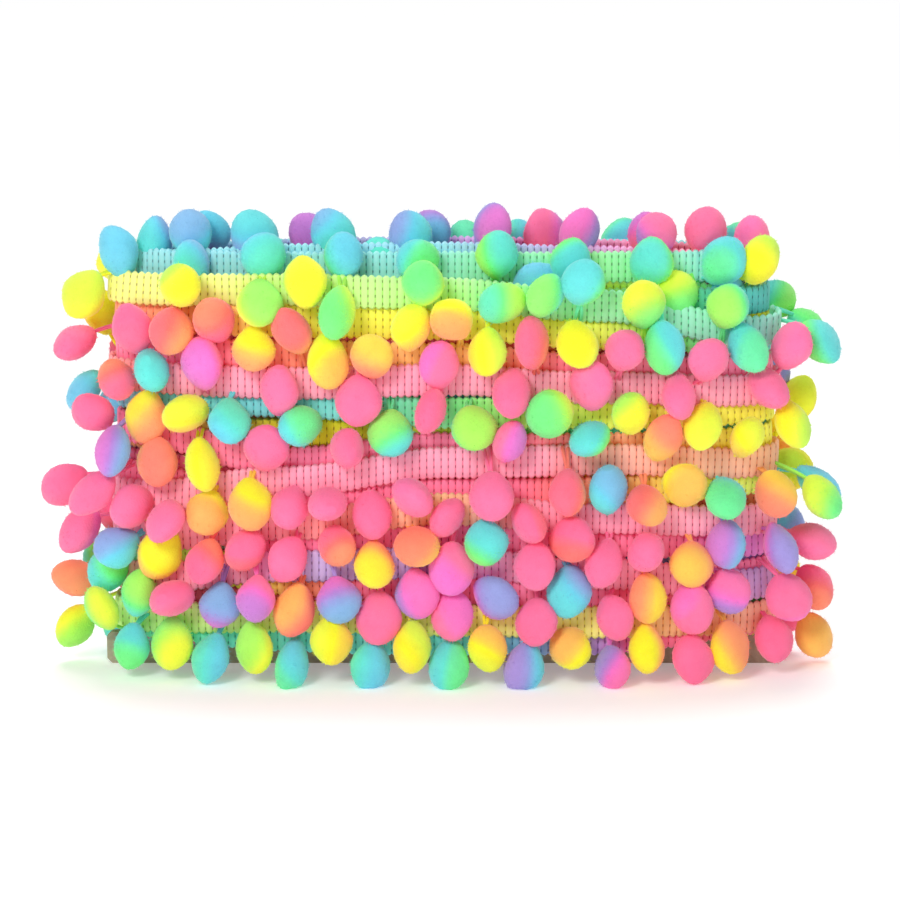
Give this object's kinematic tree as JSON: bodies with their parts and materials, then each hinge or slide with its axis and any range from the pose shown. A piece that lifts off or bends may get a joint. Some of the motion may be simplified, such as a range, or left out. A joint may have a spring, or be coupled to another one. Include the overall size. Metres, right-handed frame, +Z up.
{
  "type": "roll of pompom trim wound on a card",
  "caption": "Pompom trim wound flat round a notched card and stood on its lower end: knitted tape in overlapping turns, with soft pompoms on short loops hanging over it",
  "frame": {"origin": "middle of the footprint, on the surface that the roll stands on", "axes": "+X along the wide side, from left to right as seen from the front; +Y from the front to the back; +Z up, along the axis that the trim is wound round"},
  "size_m": [0.1806, 0.0526, 0.1078],
  "materials": {
    "greyboard": "matt grey-brown board",
    "wound_tape": "knitted tape, dyed in runs",
    "crown_turn_yarn": "soft acrylic yarn, dyed in runs",
    "shoulder_turn_yarn": "soft acrylic yarn, dyed in runs",
    "turn_03_yarn": "soft acrylic yarn, dyed in runs",
    "turn_04_yarn": "soft acrylic yarn, dyed in runs",
    "turn_05_yarn": "soft acrylic yarn, dyed in runs",
    "turn_06_yarn": "soft acrylic yarn, dyed in runs",
    "turn_07_yarn": "soft acrylic yarn, dyed in runs",
    "turn_08_yarn": "soft acrylic yarn, dyed in runs",
    "turn_09_yarn": "soft acrylic yarn, dyed in runs",
    "turn_10_yarn": "soft acrylic yarn, dyed in runs",
    "turn_11_yarn": "soft acrylic yarn, dyed in runs",
    "turn_12_yarn": "soft acrylic yarn, dyed in runs",
    "turn_13_yarn": "soft acrylic yarn, dyed in runs",
    "turn_14_yarn": "soft acrylic yarn, dyed in runs",
    "turn_15_yarn": "soft acrylic yarn, dyed in runs",
    "turn_16_yarn": "soft acrylic yarn, dyed in runs"
  },
  "bodies": {
    "root": {"card": "greyboard", "wound_core": "wound_tape", "crown_turn": "crown_turn_yarn", "shoulder_turn": "shoulder_turn_yarn", "turn_03": "turn_03_yarn", "turn_04": "turn_04_yarn", "turn_05": "turn_05_yarn", "turn_06": "turn_06_yarn", "turn_07": "turn_07_yarn", "turn_08": "turn_08_yarn", "turn_09": "turn_09_yarn", "turn_10": "turn_10_yarn", "turn_11": "turn_11_yarn", "turn_12": "turn_12_yarn", "turn_13": "turn_13_yarn", "turn_14": "turn_14_yarn", "turn_15": "turn_15_yarn", "turn_16": "turn_16_yarn"}
  },
  "joints": []
}
